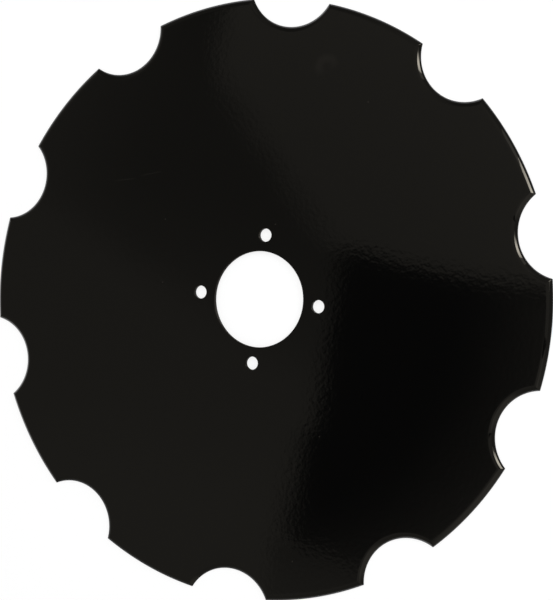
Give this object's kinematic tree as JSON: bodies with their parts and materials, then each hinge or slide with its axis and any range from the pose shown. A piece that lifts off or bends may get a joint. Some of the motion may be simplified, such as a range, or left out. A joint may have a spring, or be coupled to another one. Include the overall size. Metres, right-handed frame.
{
  "type": "notched coulter disc",
  "caption": "Flat round plough coulter blade with round notches in its bevelled cutting edge, a central bore and a circle of bolt holes for its hub.",
  "frame": {"origin": "centre of the bore, on the flat underside that the disc lies on", "axes": "+Z along the bore, up through the bevelled face; +Y through the middle of a notch and of a bolt hole; +X through the middle of a land and of a bolt hole"},
  "size_m": [0.5, 0.4954, 0.004],
  "materials": {
    "black_paint": "gloss"
  },
  "bodies": {
    "root": {"coulter_disc": "black_paint"}
  },
  "joints": []
}
